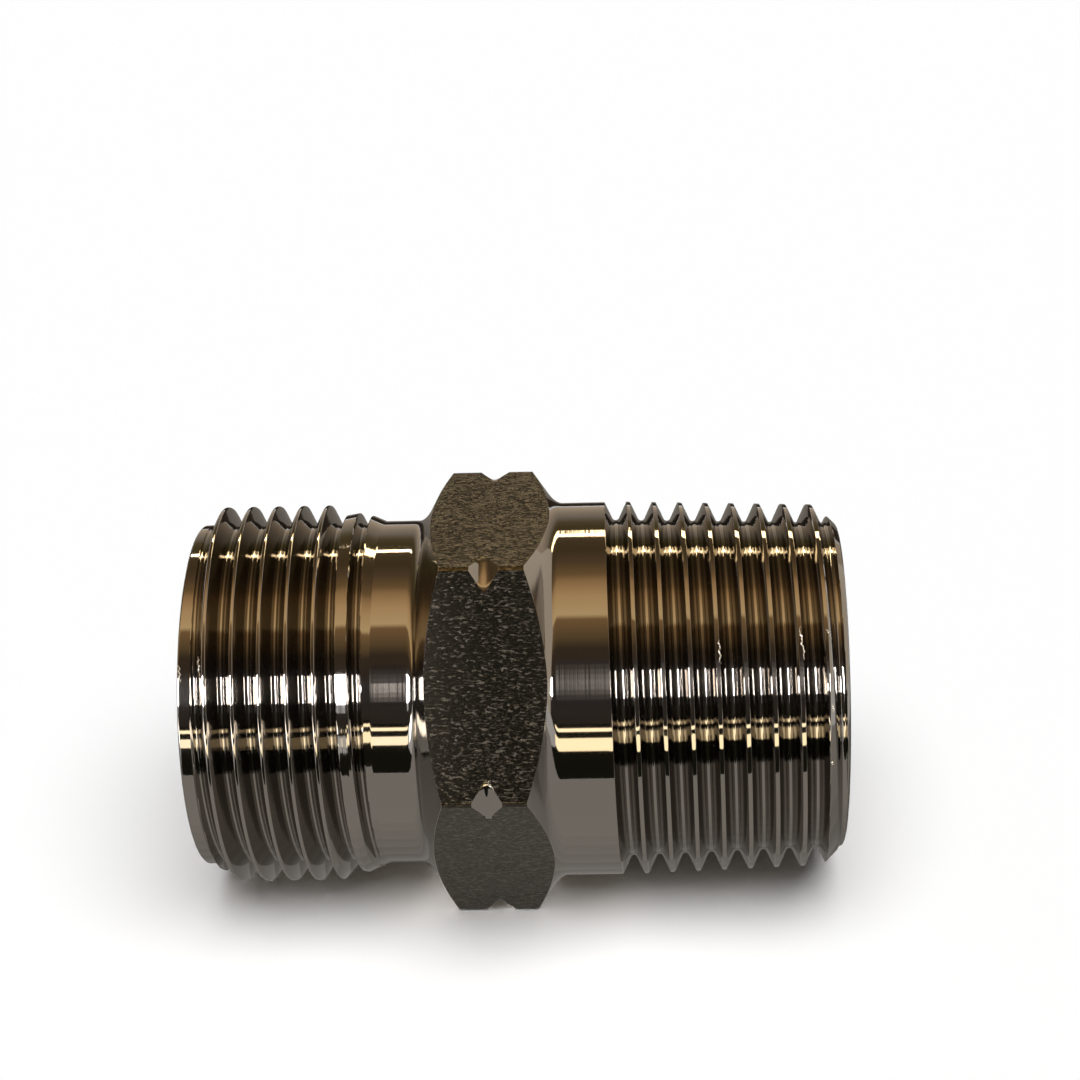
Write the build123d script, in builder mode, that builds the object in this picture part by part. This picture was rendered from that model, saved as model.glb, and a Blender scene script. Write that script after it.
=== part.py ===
# Hexagon adapter nipple, turned in one piece from hexagon bar.
# A parallel pipe thread is cut on one end and a taper pipe thread on the other.
# Units are millimetres. X runs along the fitting from the parallel end to the
# taper end. The origin is on the axis at the middle of the nick in the hexagon's
# corners, and two flats of the hexagon face straight up and down.
import os
from math import atan2, ceil, cos, degrees, radians, sin, tan

from build123d import *

# Hexagon, with a chamfer on each end and a nick turned round its corners
across_flats = 27.0
across_corners = 31.0
hexagon_to_parallel = 4.8
hexagon_to_taper = 4.3
parallel_chamfer_angle = 28.0
taper_chamfer_angle = 35.0
nick_width = 2.0
nick_depth = 0.59

# Parallel pipe thread, 14 turns to the inch. Both threads are cut as plain
# V grooves, about two thirds as deep as the rounded grooves of a real one.
parallel_length = 15.9
parallel_diameter = 26.44
parallel_pitch = 1.814
parallel_groove_depth = 0.8
parallel_crest_flat = 0.3
parallel_first_crest = 1.75
parallel_end_diameter = 24.1
parallel_lead_length = 0.85
parallel_lead_angle = 60.0

# Relief turned between the parallel thread and the hexagon
relief_length = 2.95
relief_diameter = 24.2
relief_slope_angle = 21.0
last_ridge_diameter = 25.36
last_ridge_length = 1.2

# Taper pipe thread, 14 turns to the inch
taper_length = 19.75
taper_small_diameter = 25.4
taper_on_diameter = 1 / 16
taper_pitch = 1.814
taper_groove_depth = 0.8
taper_crest_flat = 0.2
taper_first_crest = 1.75
taper_end_diameter = 22.5
taper_thread_length = 15.9
taper_blank_length = 14.4

# Bore, with a cone seat in the parallel end
bore_diameter = 16.0
cone_seat_diameter = 20.5
cone_seat_angle = 60.0
bore_chamfer = 0.5

# The threading tool leaves the metal over this part of a turn
run_out_turn = 0.28
tool_clearance = 0.1

parallel_shoulder = -hexagon_to_parallel
taper_shoulder = hexagon_to_taper
parallel_end = parallel_shoulder - parallel_length
taper_end = taper_shoulder + taper_length


def turn_at(x, crest, pitch):
    """Turn about X, in degrees from +Y, at which the groove next to this crest passes x."""
    straight_up = 90
    return straight_up + 360 * (x - crest - pitch / 2) / pitch


def spiral(x, turn, pitch, run, radius, end_radius):
    """A right-hand spiral about X that starts here and runs this far along X."""
    helix = Helix(
        pitch=pitch,
        height=abs(run),
        radius=radius,
        center=(x, 0, 0),
        direction=(1 if run > 0 else -1, 0, 0),
        cone_angle=degrees(atan2(end_radius - radius, abs(run))),
        mode=Mode.PRIVATE,
    )
    start = helix @ 0
    return helix.rotate(Axis.X, turn - degrees(atan2(start.Z, start.Y)))


def groove_form(x, turn, root_radius, depth, pitch, crest_flat):
    """The threading tool's outline, on the half plane through the axis at this turn."""
    outward = Vector(0, cos(radians(turn)), sin(radians(turn)))
    half_plane = Plane(origin=(x, 0, 0), x_dir=(1, 0, 0), z_dir=Vector(1, 0, 0).cross(outward))
    height = depth + tool_clearance
    half_width = (pitch - crest_flat) / 2 * height / depth
    with BuildSketch(half_plane) as form:
        with BuildLine():
            Polyline(
                (0, root_radius),
                (half_width, root_radius + height),
                (-half_width, root_radius + height),
                close=True,
            )
        make_face()
    return form.sketch


def thread_cuts(crest, outside, inside, root_at, form):
    """The tool's outline and path for each turn from outside the end to the inside, then out."""
    depth, pitch = form[:2]
    turns = ceil(abs(inside - outside) / pitch)
    run = (inside - outside) / turns
    run_out = run / abs(run) * pitch * run_out_turn
    places = [(outside + run * i, run, root_at(outside + run * (i + 1))) for i in range(turns)]
    places.append((inside, run_out, root_at(inside) + depth + tool_clearance))
    for x, length, end_radius in places:
        turn = turn_at(x, crest, pitch)
        path = spiral(x, turn, pitch, length, root_at(x), end_radius)
        yield groove_form(x, turn, root_at(x), *form), path


# Places and radii of the turned outline
parallel_radius = parallel_diameter / 2
last_ridge_radius = last_ridge_diameter / 2
relief_radius = relief_diameter / 2
corner_radius = across_corners / 2
small_radius = taper_small_diameter / 2
neck_radius = small_radius + taper_blank_length * taper_on_diameter / 2
parallel_end_radius = parallel_end_diameter / 2
taper_end_radius = taper_end_diameter / 2

relief_start = parallel_shoulder - relief_length
relief_slope = (last_ridge_radius - relief_radius) / tan(radians(relief_slope_angle))
last_ridge_end = relief_start - relief_slope
last_ridge_start = last_ridge_end - last_ridge_length
ridge_step = parallel_radius - last_ridge_radius
parallel_lead_end = parallel_end + parallel_lead_length
parallel_lead_rise = (parallel_radius - parallel_end_radius) / tan(radians(parallel_lead_angle))
parallel_rise = (corner_radius - relief_radius) * tan(radians(parallel_chamfer_angle))
taper_rise = (corner_radius - neck_radius) * tan(radians(taper_chamfer_angle))
taper_start = taper_end - taper_blank_length

with BuildPart() as adapter_body:
    # Hexagon bar
    with BuildSketch(Plane.YZ.offset(parallel_end)):
        RegularPolygon(radius=across_flats / 2, side_count=6, major_radius=False)
    extrude(amount=taper_end - parallel_end)

    # Everything that the lathe turns on the outside
    with BuildSketch(Plane.XZ):
        with BuildLine():
            Polyline(
                (parallel_end, 0),
                (parallel_end, parallel_end_radius),
                (parallel_lead_end, parallel_end_radius),
                (parallel_lead_end + parallel_lead_rise, parallel_radius),
                (last_ridge_start - ridge_step, parallel_radius),
                (last_ridge_start, last_ridge_radius),
                (last_ridge_end, last_ridge_radius),
                (relief_start, relief_radius),
                (parallel_shoulder, relief_radius),
                (parallel_shoulder + parallel_rise, corner_radius),
                (-nick_width / 2, corner_radius),
                (0, corner_radius - nick_depth),
                (nick_width / 2, corner_radius),
                (taper_shoulder - taper_rise, corner_radius),
                (taper_shoulder, neck_radius),
                (taper_start, neck_radius),
                (taper_end - small_radius + taper_end_radius, small_radius),
                (taper_end, taper_end_radius),
                (taper_end, 0),
                close=True,
            )
        make_face()
    revolve(axis=Axis.X, mode=Mode.INTERSECT)

    # Bore, cone seat and the chamfer at the taper end
    bore_radius = bore_diameter / 2
    seat_radius = cone_seat_diameter / 2
    seat_depth = (seat_radius - bore_radius) / tan(radians(cone_seat_angle / 2))
    with BuildSketch(Plane.XZ):
        with BuildLine():
            Polyline(
                (parallel_end, 0),
                (parallel_end, seat_radius),
                (parallel_end + seat_depth, bore_radius),
                (taper_end - bore_chamfer, bore_radius),
                (taper_end, bore_radius + bore_chamfer),
                (taper_end, 0),
                close=True,
            )
        make_face()
    revolve(axis=Axis.X, mode=Mode.SUBTRACT)

    # Parallel thread, from outside the end face into the relief
    for form, path in thread_cuts(
        crest=parallel_end + parallel_first_crest,
        outside=parallel_end - parallel_pitch,
        inside=relief_start,
        root_at=lambda x: parallel_radius - parallel_groove_depth,
        form=(parallel_groove_depth, parallel_pitch, parallel_crest_flat),
    ):
        sweep(form, path=path, is_frenet=True, mode=Mode.SUBTRACT)

    # Taper thread, from outside the small end to the plain neck
    for form, path in thread_cuts(
        crest=taper_end - taper_first_crest,
        outside=taper_end + taper_pitch,
        inside=taper_end - taper_thread_length,
        root_at=lambda x: small_radius + (taper_end - x) * taper_on_diameter / 2 - taper_groove_depth,
        form=(taper_groove_depth, taper_pitch, taper_crest_flat),
    ):
        sweep(form, path=path, is_frenet=True, mode=Mode.SUBTRACT)

adapter_body.part.label = "adapter_body"
os.makedirs("parts", exist_ok=True)
export_step(adapter_body.part, "parts/adapter_body.step")
print("adapter body", round(adapter_body.part.volume), "cubic millimetres")
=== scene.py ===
# %% [markdown]
# # Hexagon adapter nipple in turned stainless steel
# The real fitting is one piece, turned from cold-drawn hexagon bar. The lathe
# cuts the necks, chamfers and both pipe threads bright, and only the hexagon's
# flats keep the dull skin that the bar came with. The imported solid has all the
# main forms and could be rendered as it is, but its threads are plain shallow
# grooves. So this script loads it as the frame, builds a finer body over it,
# and lights that as on a table.

# %% Load the frame
import math

import bpy
import numpy as np
from mathutils import Matrix, Vector


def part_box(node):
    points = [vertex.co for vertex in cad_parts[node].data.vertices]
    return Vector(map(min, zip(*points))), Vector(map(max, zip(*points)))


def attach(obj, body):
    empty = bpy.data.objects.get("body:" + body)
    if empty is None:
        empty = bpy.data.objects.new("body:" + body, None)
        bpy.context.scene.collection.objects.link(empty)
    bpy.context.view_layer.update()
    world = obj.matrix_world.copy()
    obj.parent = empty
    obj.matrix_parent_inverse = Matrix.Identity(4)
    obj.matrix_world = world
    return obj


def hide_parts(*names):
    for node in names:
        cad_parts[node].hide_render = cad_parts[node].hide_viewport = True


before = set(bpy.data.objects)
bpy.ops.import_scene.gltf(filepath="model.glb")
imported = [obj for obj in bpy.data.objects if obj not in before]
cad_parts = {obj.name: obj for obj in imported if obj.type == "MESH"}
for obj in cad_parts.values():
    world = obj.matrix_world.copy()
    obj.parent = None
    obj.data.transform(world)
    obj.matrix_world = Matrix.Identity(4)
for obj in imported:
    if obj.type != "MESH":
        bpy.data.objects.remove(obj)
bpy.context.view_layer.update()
node_low, node_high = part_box("adapter_body")
scene = bpy.context.scene
scene.view_settings.view_transform = "Standard"
MM = 0.001
parallel_end = node_low.x / MM
taper_end = node_high.x / MM
floor_level = node_low.z / MM
print("body from", round(parallel_end, 2), "to", round(taper_end, 2), "mm")

# %% [markdown]
# The photograph was taken by hand from a little above the table, with a short
# telephoto lens. A Track To constraint could aim the camera, but it can't lean
# it, so the camera's matrix is worked out from how far it is turned about the
# fitting, how high it stands, how it leans and how far off it is. Three small
# offsets put the fitting where it lies in the picture.

# %% Camera
camera_height_angle = math.radians(25.625)
camera_turn = math.radians(-3.057)
camera_lean = math.radians(2.427)
camera_distance = 169.445
camera_aside = 3.2
camera_above = 10.614
aim_x = -0.25
lens_for_36_mm = 79.286

turned = (
    Matrix.Rotation(-camera_lean, 3, "Y")
    @ Matrix.Rotation(camera_height_angle, 3, "X")
    @ Matrix.Rotation(camera_turn, 3, "Z")
)
right, forward, up = turned[0], turned[1], turned[2]
camera_data = bpy.data.cameras.new("camera")
camera_data.sensor_width = 36
camera_data.lens = lens_for_36_mm
camera_data.clip_start = 0.01
camera_data.clip_end = 20
camera = bpy.data.objects.new("camera", camera_data)
scene.collection.objects.link(camera)
eye = turned.transposed() @ Vector((camera_aside, -camera_distance, camera_above))
eye = (eye + Vector((aim_x, 0, 0))) * MM
facing = Matrix((right, up, -forward)).transposed()
camera.matrix_world = Matrix.Translation(eye) @ facing.to_4x4()
scene.camera = camera
print("camera at", [round(c / MM) for c in eye], "mm")

# %% [markdown]
# Every surface of the fitting is a distance from the axis that depends on the
# place along X and on the turn about X. It could be modelled with Screw and
# Boolean modifiers, but they leave ragged edges where a thread fades out, so
# here a formula gives the whole outside. Where two forms meet, the lathe and
# handling leave a small round edge, and a soft minimum or maximum of their two
# formulas gives exactly that. Turns are in degrees from +Y towards +Z, and
# lengths are in millimetres.

# %% Soft minimum and maximum
def soft_min(a, b, round_over):
    """The smaller of two radii, rounded where they differ by less than this."""
    near = np.maximum(round_over - np.abs(a - b), 0) / round_over
    return np.minimum(a, b) - near * near * round_over / 4


def soft_max(a, b, round_over):
    """The larger of two radii, rounded where they differ by less than this."""
    return -soft_min(-a, -b, round_over)


# %% [markdown]
# The hexagon is 27 mm across flats, with its corners turned down to 31 mm. Each
# end has a cone chamfer that runs into its neck with a small fillet, and a V
# nick runs round the corners at mid width. A cut cylinder could give the same,
# but its curved edges would be ragged. A flat is a straight line, so its
# distance from the axis is half the across-flats size over the cosine of the
# angle from the flat's middle.

# %% Hexagon's sizes
across_flats = 27.0
corner_radius = 15.5
parallel_shoulder = -4.8
taper_shoulder = 4.3
relief_radius = 12.1
neck_radius = 13.15
parallel_chamfer = math.radians(28.0)
taper_chamfer = math.radians(35.0)
parallel_fillet = 1.1
taper_fillet = 0.75
nick_half_width = 1.0
nick_depth = 0.59
nick_bottom_round = 0.3
nick_reach = math.hypot(nick_half_width, nick_bottom_round) - nick_bottom_round
edge_round = 0.01
print("hexagon", round(taper_shoulder - parallel_shoulder, 2), "mm wide")


# %% Hexagon's outline
def flat_radius(turn):
    """How far the nearest flat is from the axis at this turn."""
    from_flat = (turn - 30) % 60
    from_flat = np.minimum(from_flat, 60 - from_flat)
    return across_flats / 2 / np.cos(np.radians(from_flat))


def nick_radius(x):
    """The V nick, with a rounded bottom."""
    away = np.sqrt(x * x + nick_bottom_round**2) - nick_bottom_round
    return corner_radius - nick_depth * (1 - away / nick_reach)


def cone_radii(x):
    """The two chamfers, each with the neck that it runs into."""
    left_cone = relief_radius + (x - parallel_shoulder) / math.tan(parallel_chamfer)
    right_cone = neck_radius + (taper_shoulder - x) / math.tan(taper_chamfer)
    left_cone = soft_max(left_cone, np.full_like(x, relief_radius), parallel_fillet)
    right_cone = soft_max(right_cone, np.full_like(x, neck_radius), taper_fillet)
    return left_cone, right_cone


def hexagon_radius(x, turn):
    """The hexagon and the two necks beside it."""
    left_cone, right_cone = cone_radii(x)
    bar = soft_min(flat_radius(turn), np.full_like(x, corner_radius), edge_round / 2)
    bar = soft_min(bar, nick_radius(x), edge_round / 2)
    bar = soft_min(bar, left_cone, edge_round)
    return soft_min(bar, right_cone, edge_round)


# %% [markdown]
# A pipe thread's section is two straight flanks joined by a rounded root and a
# rounded or narrow flat crest. It could be drawn as a curve and swept, but a
# formula can be asked for its height anywhere. The height is counted below the
# crest, against the distance from the groove's middle. The flank angle is
# measured from square to the axis, and the depth follows from the other sizes.

# %% Thread section
def thread_depth(form):
    """How deep the groove is below the crest."""
    flank = math.radians(form["flank_angle"])
    rounds = form["root_round"] + form["crest_round"]
    straight = form["pitch"] / 2 - form["crest_flat"] / 2 - rounds * math.cos(flank)
    return rounds * (1 - math.sin(flank)) + straight / math.tan(flank)


def section_height(aside, form):
    """Height against the crest, at this distance from the groove's middle."""
    flank = math.radians(form["flank_angle"])
    root, crest = form["root_round"], form["crest_round"]
    from_root = np.abs(aside)
    from_crest = np.maximum(form["pitch"] / 2 - form["crest_flat"] / 2 - from_root, 0)
    in_root = np.sqrt(np.maximum(root**2 - from_root**2, 0))
    root_height = root - in_root - thread_depth(form)
    crest_height = np.sqrt(np.maximum(crest**2 - from_crest**2, 0)) - crest
    start = root * (1 - math.sin(flank)) - thread_depth(form)
    flank_height = start + (from_root - root * math.cos(flank)) / math.tan(flank)
    height = np.where(from_root < root * math.cos(flank), root_height, flank_height)
    return np.where(from_crest < crest * math.cos(flank), crest_height, height)


# %% Rows across one thread
# A row this close to each round, in millimetres, keeps the flank's shading straight.
flank_margin = 0.03


def section_places(form):
    """Where along one pitch the mesh needs a row, from crest to crest."""
    swing = np.radians(np.linspace(0, 90 - form["flank_angle"], form["round_steps"]))
    crest = form["crest_flat"] / 2 + form["crest_round"] * np.sin(swing)
    root = form["pitch"] / 2 - form["root_round"] * np.sin(swing)
    middle = (crest[-1] + root[-1]) / 2
    on_flank = np.array([crest[-1] + flank_margin, middle, root[-1] - flank_margin])
    half = np.unique(np.concatenate([[0], crest, on_flank, root]).round(6))
    return np.unique(np.concatenate([half, form["pitch"] - half]).round(6))[:-1]


# %% The two threads
parallel_thread = {
    "pitch": 1.814,
    "flank_angle": 27.0,
    "crest_flat": 0.0,
    "crest_round": 0.15,
    "root_round": 0.16,
    "round_steps": 5,
}
taper_thread = {
    "pitch": 1.814,
    "flank_angle": 25.0,
    "crest_flat": 0.2,
    "crest_round": 0.04,
    "root_round": 0.26,
    "round_steps": 5,
}
print("parallel groove", round(thread_depth(parallel_thread), 3), "mm deep")
print("taper groove", round(thread_depth(taper_thread), 3), "mm deep")

# %% [markdown]
# The thread is that section wound round the axis. A Screw modifier could wind
# it, but then both ends would stop short. As a formula, the groove's middle
# moves along X by one pitch in each turn, and at the inner end the tool is drawn
# out of the metal over about a quarter of a turn, which lifts the whole section.

# %% Winding and run-out
thread_start_turn = 90.0
run_out = 0.28


def nearest_groove(x, turn, crest, pitch):
    """Middle of the groove nearest to x at this turn, and how far off it x is."""
    first = crest + pitch / 2 + pitch * (turn - thread_start_turn) / 360
    middle = first + pitch * np.round((x - first) / pitch)
    return middle, x - middle


# %% [markdown]
# The parallel end is turned to a blank first: a rim, a chamfer that leads the
# nut on, the plain diameter, a low last ridge and a slope down to the relief. A
# line through those corners gives it, and the thread is cut into it. The
# photograph shows the crests a tenth of a millimetre higher than the packed
# solid has them, so the blank is drawn that much larger.

# %% Parallel end's outline
parallel_radius = 13.33
parallel_first_crest = parallel_end + 1.75
parallel_rim_radius = 12.05
parallel_rim_break = 0.1
parallel_rim_slope = 1.2
parallel_edge_round = 0.05
parallel_last_middle = -8.35
ridge_radius = 12.68
ridge_tilt = 0.095
parallel_lead_end = parallel_end + 0.85
parallel_lead_rise = (parallel_radius - parallel_rim_radius) / math.tan(math.radians(60))
relief_start = parallel_shoulder - 2.95
relief_slope_start = relief_start - (ridge_radius - relief_radius) / math.tan(math.radians(21))
ridge_start = relief_slope_start - 1.2


def parallel_blank(x):
    """The turned blank that the parallel thread is cut into."""
    ridge_top = ridge_start - (parallel_radius - ridge_radius)
    corners = [
        (parallel_lead_end, parallel_rim_radius),
        (parallel_lead_end + parallel_lead_rise, parallel_radius),
        (ridge_top, parallel_radius),
        (ridge_start, ridge_radius - ridge_tilt),
        (relief_slope_start, ridge_radius + ridge_tilt),
        (relief_start, relief_radius),
    ]
    blank = np.interp(x, *zip(*corners))
    edge_break = parallel_rim_radius - parallel_rim_break + (x - parallel_end) * parallel_rim_slope
    return soft_min(blank, edge_break, parallel_edge_round)


def parallel_outside(x, turn):
    """The parallel-threaded end, from the rim to the relief."""
    middle, aside = nearest_groove(x, turn, parallel_first_crest, parallel_thread["pitch"])
    lift = (middle - parallel_last_middle) / (run_out * parallel_thread["pitch"])
    lift = np.maximum(lift, 0) * thread_depth(parallel_thread)
    cut = parallel_radius + lift + section_height(aside, parallel_thread)
    return soft_min(parallel_blank(x), cut, parallel_edge_round)


# %% [markdown]
# The taper end is a cone of 1 in 16 on its diameter, with a plain neck beside
# the hexagon and a chamfer at the small end. Its thread follows the cone, and
# where the tool is drawn out, the crest beside the last groove is left whole.

# %% Taper end's outline
taper_small_radius = 12.7
taper_rim_radius = 11.25
taper_rim_break = 0.12
taper_rim_slope = 3.5
taper_edge_round = 0.04
taper_blank_length = 14.4
taper_thread_length = 15.9
taper_first_crest = taper_end - 1.75
taper_on_radius = 1 / 32
# The crest starts this far from the groove's middle, as a share of the pitch.
whole_crest_from = 0.45


def taper_blank(x):
    """The turned blank that the taper thread is cut into."""
    chamfer_start = taper_end - (taper_small_radius - taper_rim_radius)
    places = [taper_end - taper_blank_length, chamfer_start, taper_end]
    blank = np.interp(x, places, [neck_radius, taper_small_radius, taper_rim_radius])
    edge_break = taper_rim_radius - taper_rim_break + (taper_end - x) * taper_rim_slope
    return soft_min(blank, edge_break, taper_edge_round)


def taper_outside(x, turn):
    """The taper-threaded end, from the plain neck to the rim."""
    middle, aside = nearest_groove(x, turn, taper_first_crest, taper_thread["pitch"])
    last_middle = taper_end - taper_thread_length
    crest_level = taper_small_radius + (taper_end - middle) * taper_on_radius
    lift = (last_middle - middle) / (run_out * taper_thread["pitch"])
    lift = np.maximum(lift, 0) * thread_depth(taper_thread)
    cut = crest_level + lift + section_height(aside, taper_thread)
    cut = np.where(np.abs(aside) > taper_thread["pitch"] * whole_crest_from, cut + lift, cut)
    return soft_min(taper_blank(x), cut, taper_edge_round)


# %% [markdown]
# The mesh is a grid of rows along the fitting and columns round it. Rows that
# all stay square to the axis would cut the thread at a slant and show steps, so
# a row can also follow the thread round. Such rows start and end square, because
# they stop at the limits of their band.

# %% Bands of rows
def square_band(places, turns):
    """Rows that stay square to the axis."""
    return np.repeat(np.asarray(places, float)[:, None], len(turns), axis=1)


def thread_band(low, high, crest, form, turns):
    """Rows that follow the thread's crests, flanks and roots."""
    pitch = form["pitch"]
    wound = pitch * (turns - thread_start_turn) / 360
    first = math.floor((low - crest - wound.max()) / pitch)
    last = math.ceil((high - crest - wound.min()) / pitch)
    starts = crest + pitch * np.arange(first, last + 1)
    rows = (starts[:, None] + section_places(form)[None, :]).ravel()
    rows = rows[:, None] + wound[None, :]
    return np.clip(rows, low, high)


def ring_points(x, radius, turns):
    """Points for a grid of places along X and radii."""
    angle = np.radians(turns)
    y = radius * np.cos(angle)
    z = radius * np.sin(angle)
    return np.stack([x, y, z], axis=-1)


# %% [markdown]
# A grid becomes a mesh by joining each point to its neighbours. Points that fall
# on the same place become one, which closes the last column on the first and
# removes faces without area where a band's rows meet. Smooth shading hides the
# facets, and edges sharper than a set angle stay sharp.

# %% Grid to mesh
# Points within a ten-thousandth of a millimetre become one.
weld_steps_per_mm = 1e4
sharp_from = math.radians(32)


def grid_faces(grid, finishes):
    """The grid's points without doubles, its faces, and each face's finish."""
    rows, columns = grid.shape[:2]
    keys = np.round(grid.reshape(-1, 3) * weld_steps_per_mm).astype(np.int64)
    _, first_use, shared = np.unique(keys, axis=0, return_index=True, return_inverse=True)
    points = grid.reshape(-1, 3)[first_use] * MM
    shared = shared.reshape(rows, columns)
    quads = np.stack(
        [shared[:-1, :-1], shared[:-1, 1:], shared[1:, 1:], shared[1:, :-1]], axis=-1
    ).reshape(-1, 4)
    faces, face_finish = [], []
    for corners, finish in zip(quads.tolist(), finishes[:-1, :-1].reshape(-1).tolist()):
        kept = list(dict.fromkeys(corners))
        if len(kept) > 2:
            faces.append(kept)
            face_finish.append(finish)
    return points, faces, face_finish


def build_body(name, grid, finishes):
    """One closed mesh from a grid of points that starts and ends on the same row."""
    points, faces, face_finish = grid_faces(grid, finishes)
    mesh = bpy.data.meshes.new(name)
    mesh.from_pydata(points.tolist(), [], faces)
    mesh.polygons.foreach_set("material_index", face_finish)
    mesh.polygons.foreach_set("use_smooth", [True] * len(faces))
    mesh.set_sharp_from_angle(angle=sharp_from)
    mesh.update()
    body = bpy.data.objects.new(name, mesh)
    scene.collection.objects.link(body)
    print(name, len(faces), "faces")
    return body


def closed_piece(name, outside_rows, outside, inside_line, turns, finish_of=None):
    """The outside rows, then the inside line back to the start."""
    radius = outside(outside_rows, np.broadcast_to(turns, outside_rows.shape))
    grid = [ring_points(outside_rows, radius, turns)]
    for x, r in inside_line:
        grid.append(ring_points(np.full(len(turns), x), np.full(len(turns), r), turns)[None])
    grid.append(grid[0][:1])
    grid = np.concatenate(grid)
    finishes = np.zeros(grid.shape[:2], int)
    if finish_of:
        finishes[: len(outside_rows)] = finish_of(outside_rows, turns)
    return build_body(name, grid, finishes)


# %% [markdown]
# The bore is a plain 16 mm hole. In the parallel end it opens into a cone seat,
# and at the taper end its edge is broken by a small chamfer. A Bevel modifier
# could round its corners, but it would round the threads too, so a line of
# points gives the section, with each corner rounded a little. The body is made
# in three closed pieces, whose seams lie on the plain necks. At a seam the end
# face stops a little below the surface, so that smooth shading carries on past
# it.

# %% Inside outline
bore_radius = 8.0
seat_radius = 10.25
seat_depth = (seat_radius - bore_radius) / math.tan(math.radians(30))
bore_chamfer = 0.5
inside_round = 0.05
seam_left = parallel_shoulder - 1.0
seam_right = taper_shoulder + 1.0
seam_inset = 0.5


def rounded_line(corners, size, steps=4):
    """The line through these corners, with each inner corner cut to a small round."""
    corners = [np.array(c, float) for c in corners]
    line = [corners[0]]
    for before, corner, after in zip(corners, corners[1:], corners[2:]):
        to_before = (before - corner) / np.linalg.norm(before - corner)
        to_after = (after - corner) / np.linalg.norm(after - corner)
        line.append(corner + 2 * size * to_before)
        for t in np.linspace(0, 1, steps + 1):
            ends = (1 - t) ** 2 * to_before + t**2 * to_after
            line.append(corner + size * ends)
        line.append(corner + 2 * size * to_after)
    line.append(corners[-1])
    return np.array(line)


# %% Parallel-threaded end
fine_turns = np.linspace(0, 360, 337)
parallel_face_radius = parallel_rim_radius - 0.15
chamfer_end = parallel_lead_end + parallel_lead_rise + 0.3
chamfer_rows = np.arange(parallel_end, chamfer_end, 0.04)
relief_rows = np.arange(ridge_start - 0.6, relief_start + 0.12, 0.05)
plain_rows = np.linspace(relief_start + 0.2, seam_left, 6)
parallel_limits = chamfer_rows[-1], relief_rows[0]
parallel_rows = np.concatenate(
    [
        square_band(chamfer_rows, fine_turns),
        thread_band(*parallel_limits, parallel_first_crest, parallel_thread, fine_turns),
        square_band(np.concatenate([relief_rows, plain_rows]), fine_turns),
    ]
)
parallel_inside = rounded_line(
    [
        (seam_left, bore_radius),
        (parallel_end + seat_depth, bore_radius),
        (parallel_end, seat_radius),
        (parallel_end, parallel_face_radius),
    ],
    inside_round,
)
parallel_inside = [(seam_left, relief_radius - seam_inset), *parallel_inside]
parallel_piece = closed_piece(
    "parallel_thread_end", parallel_rows, parallel_outside, parallel_inside, fine_turns
)

# %% Taper-threaded end
taper_face_radius = taper_rim_radius - 0.2
rim_rows = np.arange(taper_end - 1.65, taper_end, 0.045)
taper_limits = taper_end - taper_thread_length - 1.6, rim_rows[0]
taper_rows = np.concatenate(
    [
        square_band(np.linspace(seam_right, taper_limits[0], 5), fine_turns),
        thread_band(*taper_limits, taper_first_crest, taper_thread, fine_turns),
        square_band(np.append(rim_rows, taper_end), fine_turns),
    ]
)
taper_inside = rounded_line(
    [
        (taper_end, taper_face_radius),
        (taper_end, bore_radius + bore_chamfer),
        (taper_end - bore_chamfer, bore_radius),
        (seam_right, bore_radius),
    ],
    inside_round,
)
taper_inside = [*taper_inside, (seam_right, neck_radius - seam_inset)]
taper_piece = closed_piece("taper_thread_end", taper_rows, taper_outside, taper_inside, fine_turns)

# %% [markdown]
# Square rows would leave teeth along the hexagon's curved edges, so here the
# rows follow those edges. At each column the places where the two cones cut the
# flat, and where the nick leaves it, are worked out, and rows are spread between
# them. The columns stand close together at the corners.

# %% Columns and rows on the hexagon
# Columns are in degrees from a corner, and rows in millimetres from an edge or,
# inside the nick, as a share of its half width.
beside_corner = [0, 0.25, 0.45, 0.6, 0.8, 1.1, 1.6, 2.3, 3.3]
beside_edge = np.array([-0.08, -0.055, -0.03, 0, 0.03, 0.055, 0.08])
beside_nick = (-0.045, -0.02, 0, 0.02, 0.045)
inside_nick = (0.15, 0.3, 0.45, 0.6, 0.8)
edge_margin = 0.1
nick_margin = 0.05
nick_least = 0.3
fillet_foot_left = parallel_shoulder - 0.62
fillet_foot_right = taper_shoulder + 0.56


def corner_turns():
    """Columns for the hexagon, close together at its corners."""
    half = np.concatenate([beside_corner, np.linspace(4.6, 30, 19)])
    sector = np.concatenate([half, 60 - half[::-1][1:]])[:-1]
    turns = np.concatenate([sector + 60 * i for i in range(6)])
    return np.append(turns, 360)


def cone_rise(rise, fillet):
    """How far up the sharp cone lies the place where its rounded foot has this rise."""
    return np.where(rise < fillet, 2 * np.sqrt(fillet * rise) - fillet, rise)


def hexagon_edges(turns):
    """Where the left cone, the nick and the right cone meet the bar, for each column."""
    bar = np.minimum(flat_radius(turns), corner_radius)
    left_rise = cone_rise(bar - relief_radius, parallel_fillet)
    right_rise = cone_rise(bar - neck_radius, taper_fillet)
    left_edge = parallel_shoulder + left_rise * math.tan(parallel_chamfer)
    right_edge = taper_shoulder - right_rise * math.tan(taper_chamfer)
    away = np.maximum(bar - corner_radius + nick_depth, 0) / nick_depth * nick_reach
    nick_edge = (away + nick_bottom_round) ** 2 - nick_bottom_round**2
    return left_edge, np.sqrt(np.maximum(nick_edge, nick_least**2)), right_edge


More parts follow.
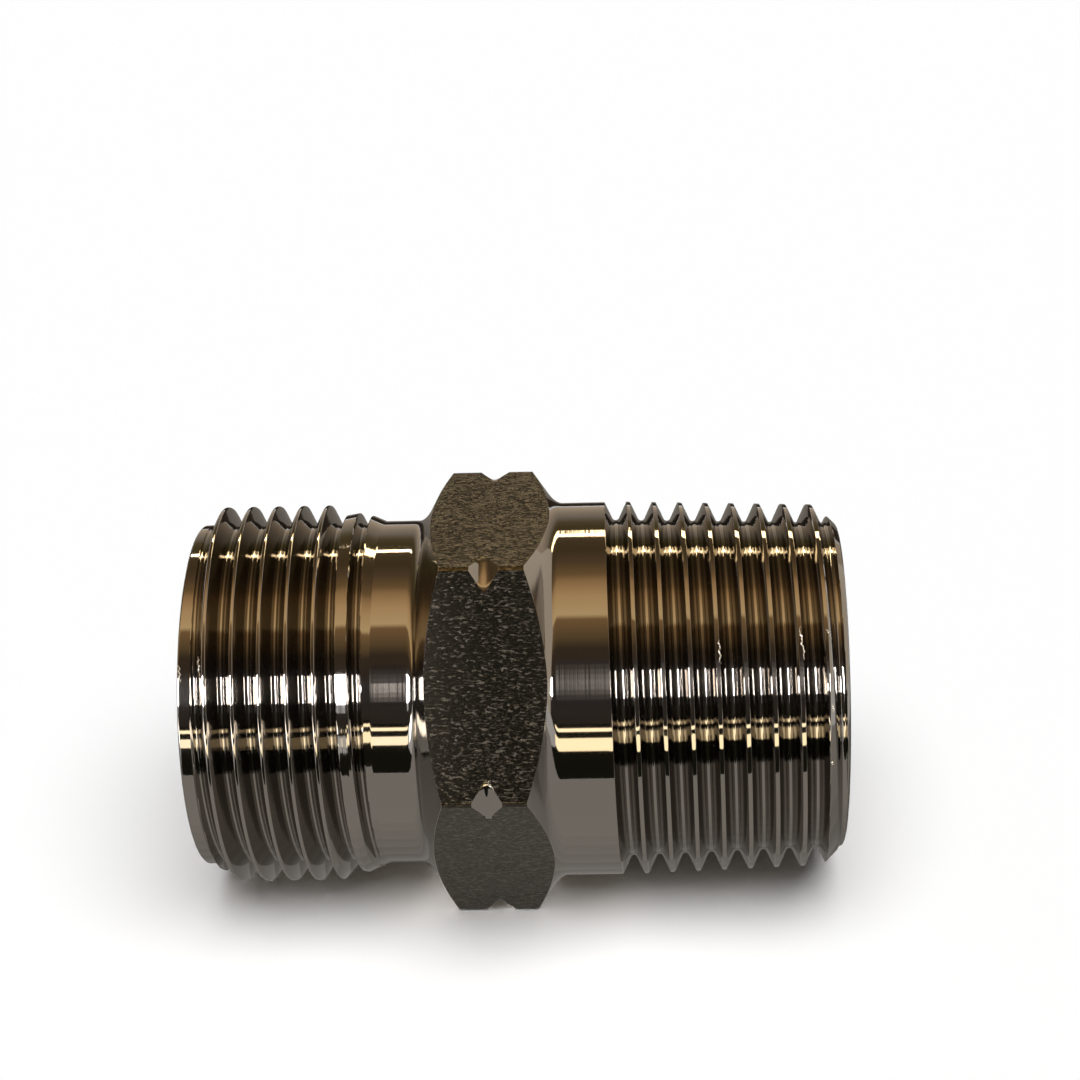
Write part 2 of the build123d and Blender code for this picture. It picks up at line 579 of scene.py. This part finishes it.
def hexagon_rows(turns):
    """Rows between the hexagon's edges, for each column."""
    left_edge, nick_edge, right_edge = hexagon_edges(turns)
    inner_left = left_edge + beside_edge[-1]
    inner_right = right_edge - beside_edge[-1]
    left_foot, right_foot = fillet_foot_left, fillet_foot_right
    margin = edge_margin
    spread = np.linspace(0, 1, 9)[1:-1]
    level = np.ones(len(turns))
    rows = [level * x for x in np.linspace(seam_left, left_foot, 3)]
    rows += [left_foot + (left_edge - margin - left_foot) * t for t in np.linspace(0.03, 1, 18)]
    rows += [left_edge + step for step in beside_edge]
    rows += [inner_left + (-nick_edge - nick_margin - inner_left) * t for t in spread]
    rows += [-nick_edge + step for step in beside_nick]
    rows += [-nick_edge * t for t in reversed(inside_nick)]
    rows.append(np.zeros(len(turns)))
    rows += [nick_edge * t for t in inside_nick]
    rows += [nick_edge + step for step in beside_nick]
    rows += [nick_edge + nick_margin + (inner_right - nick_edge - nick_margin) * t for t in spread]
    rows += [right_edge + step for step in beside_edge]
    rows += [right_edge + margin + (right_foot - right_edge - margin) * t for t in np.linspace(0, 1, 16)]
    rows += [level * x for x in np.linspace(right_foot + 0.1, seam_right, 3)]
    return np.maximum.accumulate(np.array(rows), axis=0)


# %% [markdown]
# The flats keep the bar's skin, and everything else is turned bright. A painted
# mask could mark them, but its edge would blur, so each face takes its finish
# from where it lies: it is skin where the bar is lower than what the lathe cut.

# %% Hexagon
def hexagon_finish(x, turns):
    """1 on the bar's skin, 0 on turned metal."""
    left_cone, right_cone = cone_radii(x)
    turned_radius = np.minimum(np.minimum(left_cone, right_cone), nick_radius(x))
    bar = np.minimum(flat_radius(np.broadcast_to(turns, x.shape)), corner_radius)
    return (bar < turned_radius - 0.01).astype(int)


hexagon_turns = corner_turns()
hexagon_inside = [
    (seam_right, neck_radius - seam_inset),
    (seam_right, bore_radius),
    (seam_left, bore_radius),
    (seam_left, relief_radius - seam_inset),
]
hexagon_piece = closed_piece(
    "hexagon",
    hexagon_rows(hexagon_turns),
    hexagon_radius,
    hexagon_inside,
    hexagon_turns,
    hexagon_finish,
)

# %% [markdown]
# Where the tool tore the metal, a few hair-thin burrs still hang on the thread
# crests. A bevelled curve could make each, but it wouldn't follow the crest, so
# each is a wavy wire half sunk into the surface. It runs from one place to
# another, both given along X and as a turn.

# %% Burrs on the crests
# Each row is a start along X, a start turn, an end along X and an end turn.
burr_places = [
    (20.7, 133.5, 21.0, 143.5),
    (22.5, 134.5, 22.8, 137.0),
    (15.4, 137.5, 15.46, 144.5),
    (22.75, 157.0, 22.79, 159.5),
    (22.72, 174.5, 22.76, 176.0),
    (-19.2, 139.5, -19.0, 146.0),
    (-20.56, 141.5, -20.45, 147.0),
]
burr_radius = 0.035
burr_steps = 24
burr_sides = np.radians([0, 60, 120, 180, 240, 300])


def burr_grid(start_x, start_turn, end_x, end_turn):
    """Lines of points along one wavy burr, one for each of its sides."""
    # Sine waves of unlike lengths make it uneven, and the same in each run.
    share = np.linspace(0, 1, burr_steps)
    wave = 0.05 * np.sin(share * 17 + start_x) + 0.03 * np.sin(share * 41 + start_turn)
    x = start_x + (end_x - start_x) * share + wave
    turn = start_turn + (end_turn - start_turn) * share
    outside = taper_outside if start_x > 0 else parallel_outside
    lift = 0.02 + 0.02 * np.sin(share * 29 + end_turn)
    thick = burr_radius * (0.35 + np.sin(share * math.pi)) * (1 + 0.3 * np.sin(share * 53))
    lines = []
    for around in burr_sides:
        place = x + thick * np.cos(around)
        radius = outside(x, turn) + lift + thick * np.sin(around)
        lines.append(ring_points(place, radius, turn))
    return np.array(lines)


# %% One mesh for all burrs
def burr_piece():
    """All burrs as one mesh of small closed wires."""
    sides, steps = len(burr_sides), burr_steps
    points, faces = [], []
    for place in burr_places:
        start = len(points)
        points += (burr_grid(*place).reshape(-1, 3) * MM).tolist()
        for i in range(sides):
            for j in range(steps - 1):
                a = start + i * steps + j
                b = start + (i + 1) % sides * steps + j
                faces.append((a, b, b + 1, a + 1))
        faces.append([start + i * steps for i in range(sides)][::-1])
        faces.append([start + i * steps + steps - 1 for i in range(sides)])
    mesh = bpy.data.meshes.new("thread_burrs")
    mesh.from_pydata(points, [], faces)
    mesh.polygons.foreach_set("use_smooth", [True] * len(faces))
    body = bpy.data.objects.new("thread_burrs", mesh)
    scene.collection.objects.link(body)
    print("thread_burrs", len(faces), "faces")
    return body


# %% [markdown]
# The four pieces together stand in for the imported solid, which is hidden, and belong to its one body.

# %% Put the pieces on the frame
pieces = [parallel_piece, hexagon_piece, taper_piece, burr_piece()]
for piece in pieces:
    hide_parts("adapter_body")
    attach(piece, "root")
print(len(pieces), "pieces replace the packed solid")

# %% [markdown]
# Colours are written as sRGB hex values, as any paint program shows them.
# Blender's nodes work in linear light, so one function turns them. Another adds
# a node, sets its options and links its inputs, which keeps each material short.

# %% Colours and nodes
def linear(hex_colour):
    """sRGB hex to the linear colour that Blender works in."""
    channels = [int(hex_colour[i : i + 2], 16) / 255 for i in (1, 3, 5)]
    return [c / 12.92 if c <= 0.04045 else ((c + 0.055) / 1.055) ** 2.4 for c in channels] + [1]


def add_node(tree, kind, settings=None, **inputs):
    """Adds a node, sets its options, and sets or links its inputs."""
    node = tree.nodes.new(kind)
    for option, value in (settings or {}).items():
        setattr(node, option, value)
    for socket, value in inputs.items():
        key = int(socket[1:]) if socket[1:].isdigit() else socket.replace("_", " ")
        if isinstance(value, bpy.types.NodeSocket):
            tree.links.new(value, node.inputs[key])
        else:
            node.inputs[key].default_value = value
    return node


def new_material(name):
    """An empty node material and its output."""
    material = bpy.data.materials.new(name)
    material.use_nodes = True
    material.node_tree.nodes.clear()
    return material, material.node_tree, material.node_tree.nodes.new("ShaderNodeOutputMaterial")


def paint_ramp(ramp_node, stops):
    """Gives a colour ramp these places and colours."""
    elements = ramp_node.color_ramp.elements
    elements.remove(elements[0])
    for index, (position, colour) in enumerate(stops):
        element = elements[0] if index == 0 else elements.new(position)
        element.position = position
        element.color = colour


# %% [markdown]
# Turned stainless steel is a bare metal with a warm grey tint. The tool leaves
# fine rings round the work, so the metal mirrors the room sharply along a ring
# and smears it across the rings. An anisotropic sheen with its tangent round X
# gives the smear, and a bump adds single rings. The bump changes only along X
# and with the distance from the axis, so it also runs round the chamfers and the
# end faces. Real rings are about 0.1 mm apart, which is too fine to show, so
# they are drawn at 0.25 mm.

# %% Turned steel
ring_spacing = 0.25 * MM
ring_height = 0.012 * MM
steel_colour = "#908B84"


def ring_pattern(tree):
    """Uneven rings round X, as heights from 0 to 1."""
    place = add_node(tree, "ShaderNodeTexCoord").outputs["Object"]
    split = add_node(tree, "ShaderNodeSeparateXYZ", Vector=place)
    across = add_node(
        tree, "ShaderNodeVectorMath", {"operation": "MULTIPLY"}, _0=place, _1=(0, 1, 1)
    )
    radius = add_node(tree, "ShaderNodeVectorMath", {"operation": "LENGTH"}, _0=across.outputs[0])
    along = add_node(
        tree,
        "ShaderNodeMath",
        {"operation": "ADD"},
        _0=split.outputs["X"],
        _1=radius.outputs["Value"],
    )
    along = add_node(
        tree, "ShaderNodeMath", {"operation": "DIVIDE"}, _0=along.outputs[0], _1=ring_spacing
    )
    rings = add_node(
        tree,
        "ShaderNodeTexNoise",
        {"noise_dimensions": "1D"},
        W=along.outputs[0],
        Scale=1.0,
        Detail=2.0,
        Roughness=0.5,
    )
    return rings.outputs[0]


def turned_steel():
    """Bright turned stainless steel with fine tool rings."""
    material, tree, output = new_material("turned_steel")
    bump = add_node(
        tree, "ShaderNodeBump", Strength=0.38, Distance=ring_height, Height=ring_pattern(tree)
    )
    round_axis = add_node(tree, "ShaderNodeTangent", {"direction_type": "RADIAL", "axis": "X"})
    metal = add_node(
        tree,
        "ShaderNodeBsdfPrincipled",
        Base_Color=linear(steel_colour),
        Metallic=1.0,
        Roughness=0.07,
        Anisotropic=0.9,
        Anisotropic_Rotation=0.25,
        Tangent=round_axis.outputs[0],
        Normal=bump.outputs[0],
    )
    tree.links.new(metal.outputs[0], output.inputs[0])
    return material


# %% [markdown]
# The flats keep the skin of cold-drawn bar: duller and darker than the turned
# metal, with tiny pits and ridges drawn out along the bar. The ridges catch a
# little light, so the flat that faces a dark wall shows as black with flecks. A
# noise stretched along X gives the flecks, and one ramp turns it into pits, bare
# skin and ridges, which tint, roughen and raise the surface together. Real
# flecks are a tenth of a millimetre long, and they are drawn larger to show.

# %% Drawn skin
fleck_length = 0.42 * MM
fleck_spacing = 0.14 * MM
fleck_height = 0.02 * MM
skin_colour = "#3F3B32"
fleck_colour = "#686256"
# Each pair is a level of the noise and the height that it becomes.
fleck_steps = [(0.36, 0.5), (0.42, 0.0), (0.52, 0.0), (0.61, 0.8), (0.7, 1.0)]


def fleck_pattern(tree):
    """Pits, bare skin and ridges along the bar, as heights from 0 to 1."""
    drawn_out = add_node(
        tree,
        "ShaderNodeMapping",
        Vector=add_node(tree, "ShaderNodeTexCoord").outputs["Object"],
        Scale=(1 / fleck_length, 1 / fleck_spacing, 1 / fleck_spacing),
    )
    waves = add_node(tree, "ShaderNodeTexNoise", Vector=drawn_out.outputs[0], Scale=1.0, Detail=3.0)
    flecks = add_node(tree, "ShaderNodeValToRGB", Fac=waves.outputs[0])
    paint_ramp(flecks, [(position, (h, h, h, 1)) for position, h in fleck_steps])
    return flecks.outputs[0]


def drawn_skin():
    """The dull skin of cold-drawn bar, with short rough flecks along the bar."""
    material, tree, output = new_material("drawn_bar_skin")
    flecks = fleck_pattern(tree)
    tone = add_node(
        tree,
        "ShaderNodeMix",
        {"data_type": "RGBA"},
        Factor=flecks,
        _6=linear(skin_colour),
        _7=linear(fleck_colour),
    )
    dullness = add_node(tree, "ShaderNodeMapRange", Value=flecks, To_Min=0.1, To_Max=0.26)
    bump = add_node(tree, "ShaderNodeBump", Strength=0.3, Distance=fleck_height, Height=flecks)
    metal = add_node(
        tree,
        "ShaderNodeBsdfPrincipled",
        Base_Color=tone.outputs[2],
        Metallic=1.0,
        Roughness=dullness.outputs[0],
        Normal=bump.outputs[0],
    )
    tree.links.new(metal.outputs[0], output.inputs[0])
    return material


# %% [markdown]
# Torn steel is the same metal without the tool's polish. It is paler and
# rougher, so a burr shows as a light thread on dark metal from any side. The
# wires are too thin to show a pattern.

# %% Torn steel
torn_colour = "#C4BDB2"


def torn_steel():
    """Steel that the tool has torn, rougher and paler than the turned metal."""
    material, tree, output = new_material("torn_steel")
    metal = add_node(
        tree,
        "ShaderNodeBsdfPrincipled",
        Base_Color=linear(torn_colour),
        Metallic=1.0,
        Roughness=0.3,
    )
    tree.links.new(metal.outputs[0], output.inputs[0])
    return material


# %% Give the pieces their finish
steel = turned_steel()
skin = drawn_skin()
torn = torn_steel()
for piece in pieces[:3]:
    piece.data.materials.append(steel)
    piece.data.materials.append(skin)
pieces[3].data.materials.append(torn)
print("materials", [m.name for m in (steel, skin, torn)])

# %% [markdown]
# The floor is a sheet of matt white paper that reaches past every camera's view,
# so it is the background too. A curved backdrop would do as well, but it would
# show as a bend in the metal.

# %% Floor
floor_reach = 6000


def flat_mesh(name, corners):
    """One flat face from its corners in millimetres."""
    mesh = bpy.data.meshes.new(name)
    points = [[c * MM for c in corner] for corner in corners]
    mesh.from_pydata(points, [], [tuple(range(len(points)))])
    return mesh


def white_paper():
    """Matt white paper, without any gloss."""
    material, tree, output = new_material("white_paper")
    paper = add_node(
        tree,
        "ShaderNodeBsdfPrincipled",
        Base_Color=linear("#FFFFFF"),
        Roughness=0.9,
        Specular_IOR_Level=0.0,
    )
    tree.links.new(paper.outputs[0], output.inputs[0])
    return material


floor_corners = [(-1, -1), (1, -1), (1, 1), (-1, 1)]
floor_corners = [(x * floor_reach, y * floor_reach, floor_level) for x, y in floor_corners]
floor = bpy.data.objects.new("floor", flat_mesh("floor", floor_corners))
floor.data.materials.append(white_paper())
scene.collection.objects.link(floor)
print("floor at", round(floor_level, 2), "mm")

# %% [markdown]
# Past the floor's end the camera sees the world, which is plain white like the
# paper. As light it is weak, and only fills the shadow a little. One world can't
# have two strengths, so Light Path tells rays that see it from rays that light.

# %% World
world_level = 0.1

world = bpy.data.worlds.new("pale_room")
scene.world = world
world.use_nodes = True
tree = world.node_tree
tree.nodes.clear()
path = add_node(tree, "ShaderNodeLightPath")
seen = path.outputs["Is Camera Ray"]
for ray in ("Is Glossy Ray", "Is Transmission Ray"):
    either = add_node(tree, "ShaderNodeMath", {"operation": "MAXIMUM"}, _0=seen, _1=path.outputs[ray])
    seen = either.outputs[0]
strength = add_node(tree, "ShaderNodeMapRange", Value=seen, To_Min=world_level, To_Max=1.0)
white = add_node(tree, "ShaderNodeBackground", Color=(1, 1, 1, 1), Strength=strength.outputs[0])
add_node(tree, "ShaderNodeOutputWorld", Surface=white.outputs[0])
print("world lights at", world_level)

# %% [markdown]
# One broad soft lamp stands nearly overhead, a little to the front and side, and
# leaves a close soft shadow. A sun lamp of wide angle does this with an even
# level everywhere. Lamp and world together light white paper to just white.

# %% Overhead lamp
lamp_level = 0.9
lamp_height_angle = math.radians(70)
lamp_aside_angle = math.radians(6)
lamp_spread = math.radians(56)

lamp_data = bpy.data.lights.new("overhead_lamp", "SUN")
lamp_data.angle = lamp_spread
lamp_data.energy = lamp_level * math.pi / math.sin(lamp_height_angle)
lamp = bpy.data.objects.new("overhead_lamp", lamp_data)
lamp.rotation_euler = (math.pi / 2 - lamp_height_angle, lamp_aside_angle, 0)
lamp.visible_glossy = False
scene.collection.objects.link(lamp)
print("lamp energy", round(lamp_data.energy, 2))

# %% [markdown]
# Bright metal shows the room it lies in more than its own colour. A panorama
# picture could give that room, but this script uses no pictures, so a workshop
# is built round the fitting from a painted dome and a few lit cards. All are
# long in X, as the fitting is. Their angles are measured in a slice across the
# fitting: 0 is level in front, 90 straight up and 180 level behind. Only
# reflections see them.

# %% Dome's paint
dome_radius = 5000
dome_steps = 64
dome_strength = 1.38
# Each pair is an angle in degrees and the paint's colour there.
dome_paint = [
    (0, "#34302A"),
    (14, "#423D38"),
    (30, "#33302D"),
    (46, "#4C4035"),
    (53, "#4E4234"),
    (60, "#7C6648"),
    (71, "#A28058"),
    (74, "#FFDCA4"),
    (86, "#F0C891"),
    (97, "#C8A070"),
    (102, "#957850"),
    (112, "#705A42"),
    (122, "#5C4C34"),
    (133, "#62523A"),
    (145, "#5A5034"),
    (152, "#6A5E44"),
    (160, "#92887B"),
    (178, "#BCAA95"),
]


def dome_material():
    """Glowing paint whose tone depends on the angle above the floor in front."""
    material, tree, output = new_material("workshop_walls")
    place = add_node(tree, "ShaderNodeTexCoord")
    split = add_node(tree, "ShaderNodeSeparateXYZ", Vector=place.outputs["Object"])
    front = add_node(tree, "ShaderNodeMath", {"operation": "MULTIPLY"}, _0=split.outputs["Y"], _1=-1.0)
    angle = add_node(
        tree, "ShaderNodeMath", {"operation": "ARCTAN2"}, _0=split.outputs["Z"], _1=front.outputs[0]
    )
    share = add_node(tree, "ShaderNodeMapRange", Value=angle.outputs[0], From_Max=math.pi)
    ramp = add_node(tree, "ShaderNodeValToRGB", Fac=share.outputs[0])
    paint_ramp(ramp, [(degrees / 180, linear(colour)) for degrees, colour in dome_paint])
    glow = add_node(tree, "ShaderNodeEmission", Color=ramp.outputs[0], Strength=dome_strength)
    tree.links.new(glow.outputs[0], output.inputs[0])
    return material


# %% Dome
def only_in_reflections(thing):
    """Stage that neither the camera nor the floor sees."""
    scene.collection.objects.link(thing)
    thing.visible_camera = False
    thing.visible_diffuse = False
    thing.visible_shadow = False


def dome_mesh(name, radius, steps):
    """A sphere seen from inside."""
    points, faces = [], []
    for i in range(steps // 2 + 1):
        lift = math.pi * i / (steps // 2) - math.pi / 2
        for j in range(steps):
            turn = 2 * math.pi * j / steps
            flat = math.cos(lift) * radius * MM
            points.append((flat * math.cos(turn), flat * math.sin(turn), radius * math.sin(lift) * MM))
    for i in range(steps // 2):
        for j in range(steps):
            a, b = i * steps + j, i * steps + (j + 1) % steps
            faces.append((a, a + steps, b + steps, b))
    mesh = bpy.data.meshes.new(name)
    mesh.from_pydata(points, [], faces)
    return mesh


room = bpy.data.objects.new("workshop", dome_mesh("workshop", dome_radius, dome_steps))
room.data.materials.append(dome_material())
only_in_reflections(room)
print("dome", dome_radius, "mm in radius")

# %% [markdown]
# A window, a lamp or a bench is a flat card that glows evenly. Area lamps would
# mirror as well, but they would also light the floor. A card is given by two
# places in the slice across the fitting and by its two ends along X.

# %% Lit cards
card_distance = 1500


def glowing(name, colour, strength):
    """Evenly glowing paint."""
    material, tree, output = new_material(name)
    glow = add_node(tree, "ShaderNodeEmission", Color=linear(colour), Strength=strength)
    tree.links.new(glow.outputs[0], output.inputs[0])
    return material


def lit_face(name, corners, colour, strength):
    """One glowing flat face, seen only in reflections."""
    mesh = flat_mesh(name, corners)
    mesh.materials.append(glowing(name, colour, strength))
    only_in_reflections(bpy.data.objects.new(name, mesh))


def card(name, low, high, sides, colour, strength=1.0):
    """A card between two places in the slice across the fitting, and two along X."""
    corners = [(sides[0], *low), (sides[1], *low), (sides[1], *high), (sides[0], *high)]
    lit_face(name, corners, colour, strength)


def in_slice(angle, distance):
    """Y and Z at this angle above the floor in front, this far from the axis."""
    swing = math.radians(angle)
    return -distance * math.cos(swing), distance * math.sin(swing)


def far_card(name, low_angle, high_angle, sides, colour, strength=1.0):
    """A distant card between two angles."""
    low = in_slice(low_angle, card_distance)
    high = in_slice(high_angle, card_distance)
    card(name, low, high, sides, colour, strength)


def warm_grey(red, green_less, blue_less):
    """A hex colour from its red channel, with this much less green and blue."""
    return f"#{red:02X}{red - green_less:02X}{red - blue_less:02X}"


# %% [markdown]
# Two windows at the left, one far off, give the cool white dashes on the thread
# flanks that lean to the left. They stand so far aside that no plain neck
# mirrors them. The lower window stands on a dim sill.

# %% Windows at the left
far_card("window_left", 21, 40, (-1100, -680), "#F8F8FF", 90)
far_card("window_sill", 15, 21, (-1100, -690), "#F8F8FF", 1.2)
far_card("window_far_left", 21, 40, (-2100, -1300), "#F8F8FF", 30)
print("two windows at the left")

# %% [markdown]
# The necks and the ridge mirror a wall straight in front, where a blind lets a
# soft grey light through. It is brightest at its middle. The blind hangs in two
# parts with a gap between them, so that the hexagon's middle flat stays dark.

# %% Blinds in front
# Each pair is an angle in degrees and the red channel of the grey from there up.
blind_tones = [
    (19, 70),
    (22, 105),
    (25, 150),
    (28, 192),
    (31, 202),
    (34, 182),
    (37, 150),
    (40, 115),
    (43, 85),
    (46, 70),
]
bright_strip = (22, 34)
for (low_angle, tone), (high_angle, _) in zip(blind_tones, blind_tones[1:]):
    colour = warm_grey(tone, 6, 8)
    left_strength = 3.0 if bright_strip[0] <= low_angle < bright_strip[1] else 0.6
    far_card("blind_left", low_angle, high_angle, (-215, -150), colour, left_strength)
    far_card("blind_right", low_angle, high_angle, (-60, 700), colour)
print(len(blind_tones) - 1, "strips in each blind")

# %% [markdown]
# A nearer window at the right whitens the right rim. Behind the fitting, halfway
# up, warm lamps give the gold dashes along the top of the necks and threads. A
# plain wall at the right is what the right rim's chamfer mirrors.

# %% Right window, lamps behind and wall
near_window_distance = 400
near_low = in_slice(22.5, near_window_distance)
near_high = in_slice(38, near_window_distance)
card("window_right", near_low, near_high, (570, 1500), "#F8F8FF", 45)
far_card("lamp_behind_left", 135.4, 137.6, (-420, -40), "#FFEBC8", 24)
far_card("lamp_behind_right", 134.6, 141.5, (-40, 1100), "#FFE4B4", 10)

wall_x = 500
wall_sides = (-200, 500)
wall_top = 500
wall_corners = [
    (wall_x, wall_sides[0], floor_level),
    (wall_x, wall_sides[1], floor_level),
    (wall_x, wall_sides[1], wall_top),
    (wall_x, wall_sides[0], wall_top),
]
lit_face("wall_right", wall_corners, "#D8CCBC", 1.3)
print("window, lamps and wall at the right and behind")

# %% [markdown]
# Round the top, the metal mirrors what stands close behind it. A low dark block
# there keeps the thread tops from vanishing into the white floor.

# %% Dark block behind
behind_y = 62
behind_sides = (-70, 75)
card("block_behind", (behind_y, -1), (behind_y, 10), behind_sides, "#393128")
card("block_foot_behind", (behind_y, floor_level), (behind_y, -1), behind_sides, "#7C766E")
print("block behind, at", behind_y, "mm")

# %% [markdown]
# In front of the fitting, just outside the picture, stands the dark edge of a
# bench with two warm strips of light, and a dark mat lies between them. They
# give the black band and the two gold lines on the necks. A lamp at the bench's
# left end gives the light edges low on the left thread.

# %% Bench edge and mat
bench_y = -95
bench_sides = (-45, 70)
bench_split = -6
mat_end = -39.4
mat_level = floor_level + 0.3
left_part = (bench_sides[0], bench_split)
right_part = (bench_split, bench_sides[1])
card("bench_edge", (bench_y - 1, floor_level), (bench_y - 1, 15), bench_sides, "#26261F")
card("bench_strip_left", (bench_y, -7.6), (bench_y, 1.6), left_part, "#FFEED0", 4)
card("bench_strip_right", (bench_y, -11), (bench_y, 1.6), right_part, "#FFECC4", 4)
card("bench_strip_high", (bench_y, 7.6), (bench_y, 11), bench_sides, "#FFEBC6", 4.5)
card("bench_lamp_left", (-110, floor_level), (-110, 7), (-260, -75), "#FFF6EC", 14)
card("dark_mat", (bench_y, mat_level), (mat_end, mat_level), bench_sides, "#26261F")
print("bench edge at", bench_y, "mm")

# %% [markdown]
# Low down, the metal mirrors the paper that it lies on. In the photograph that
# paper is in the fitting's own shade and shows grey, darker the nearer it lies.
# The floor here would be too bright in the mirror, so a sheet of painted shade lies just above it, where
# only reflections see it: grey strips, darker towards the fitting and behind it.

# %% Painted shade sheet under the fitting
# Each pair is a place along Y and the red channel of the painted shade from there back.
painted_shade_tones = [
    (mat_end, 193),
    (-18, 193),
    (-15, 187),
    (-13, 181),
    (-11, 172),
    (-9, 158),
    (-7, 142),
    (-4, 115),
    (150, 95),
]
painted_shade_sides = (-80, 90)
painted_shade_level = floor_level + 0.2
# Each strip is painted shade of the floor, seen only in reflections.
for (near_y, tone), (far_y, _) in zip(painted_shade_tones, painted_shade_tones[1:]):
    grey = warm_grey(tone, 4, 8)
    card("painted_shade_sheet", (near_y, painted_shade_level), (far_y, painted_shade_level), painted_shade_sides, grey)
print(len(painted_shade_tones) - 1, "grey strips")
